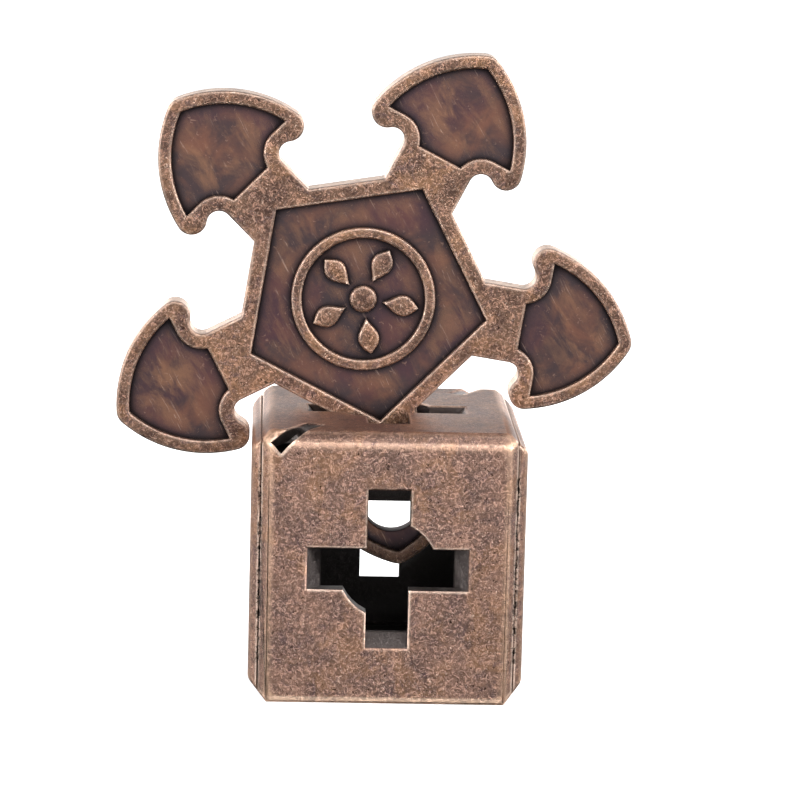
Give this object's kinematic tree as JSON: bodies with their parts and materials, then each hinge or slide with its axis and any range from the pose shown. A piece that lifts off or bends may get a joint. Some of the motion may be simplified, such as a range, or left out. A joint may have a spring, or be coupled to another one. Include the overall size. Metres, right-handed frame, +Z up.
{
  "type": "cast metal gear and box disentanglement puzzle",
  "caption": "Hollow cast metal cube with a cross-shaped opening in each face, and a flat star-shaped gear standing in its top that rocks and rolls around it.",
  "frame": {"origin": "on the plane the box stands on, midway across the whole puzzle's width at rest and midway through its depth; the box's own centre line is 1.7 mm to the +X side", "axes": "+Z up, +Y through the box from its front face to its back, +X to the right as seen from the front; the star gear lies in the XZ plane"},
  "size_m": [0.0608, 0.032, 0.0744],
  "materials": {
    "star_gear": "antique copper plated zinc casting, tumbled, with dark patina in the pockets",
    "box_upper": "antique copper plated zinc casting, tumbled, mottled brown",
    "box_lower": "antique copper plated zinc casting, tumbled, mottled brown",
    "pin": "steel dowel pin, filed flush and plated over"
  },
  "bodies": {
    "box": {"box_upper_casting": "box_upper", "box_lower_casting": "box_lower", "dowel_pin_1": "pin", "dowel_pin_2": "pin", "dowel_pin_3": "pin", "dowel_pin_4": "pin"},
    "gear": {"star_gear": "star_gear"}
  },
  "joints": [
    {"name": "gear_rock", "type": "hinge", "parent": "box", "child": "gear", "pos_m": [0.00172, 0, 0.02561], "axis": [0, 1, 0], "range_deg": [0, 18.4]}
  ]
}
